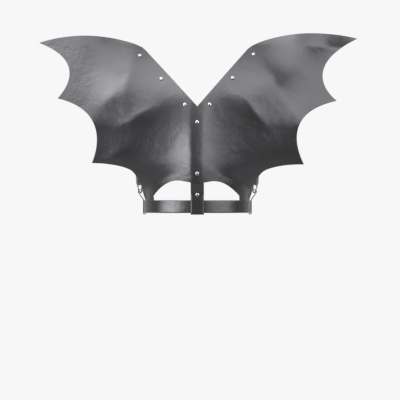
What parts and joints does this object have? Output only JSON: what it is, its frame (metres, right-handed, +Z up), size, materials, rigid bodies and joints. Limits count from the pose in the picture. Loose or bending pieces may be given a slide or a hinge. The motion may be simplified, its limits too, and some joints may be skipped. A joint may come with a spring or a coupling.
{
  "type": "bat wing back harness",
  "caption": "Black leather bat wings worn on the back: a scalloped wing panel with a V neckline, riveted to shoulder straps and a waist belt.",
  "frame": {"origin": "midway between the shoulder straps, level with the underside of their crests", "axes": "+Z up as worn, +X to the right seen from behind, -Y towards the back"},
  "size_m": [0.706, 0.2003, 0.4035],
  "materials": {
    "black_leather": "black smooth leather with a fine grain and a soft sheen",
    "nickel": "bright nickel plate"
  },
  "bodies": {
    "root": {"wing_panel": "black_leather", "centre_strap": "black_leather", "waist_belt": "black_leather", "shoulder_strap_left": "black_leather", "shoulder_strap_right": "black_leather", "side_loop_left": "black_leather", "side_loop_right": "black_leather", "belt_clasp": "nickel", "side_ring_left": "nickel", "side_ring_right": "nickel", "rivet_neck_left_1": "nickel", "rivet_neck_left_2": "nickel", "rivet_neck_left_3": "nickel", "rivet_neck_right_1": "nickel", "rivet_neck_right_2": "nickel", "rivet_neck_right_3": "nickel", "rivet_strap_end_left": "nickel", "rivet_strap_end_right": "nickel", "rivet_centre_1": "nickel", "rivet_centre_2": "nickel", "rivet_belt": "nickel"}
  },
  "joints": []
}
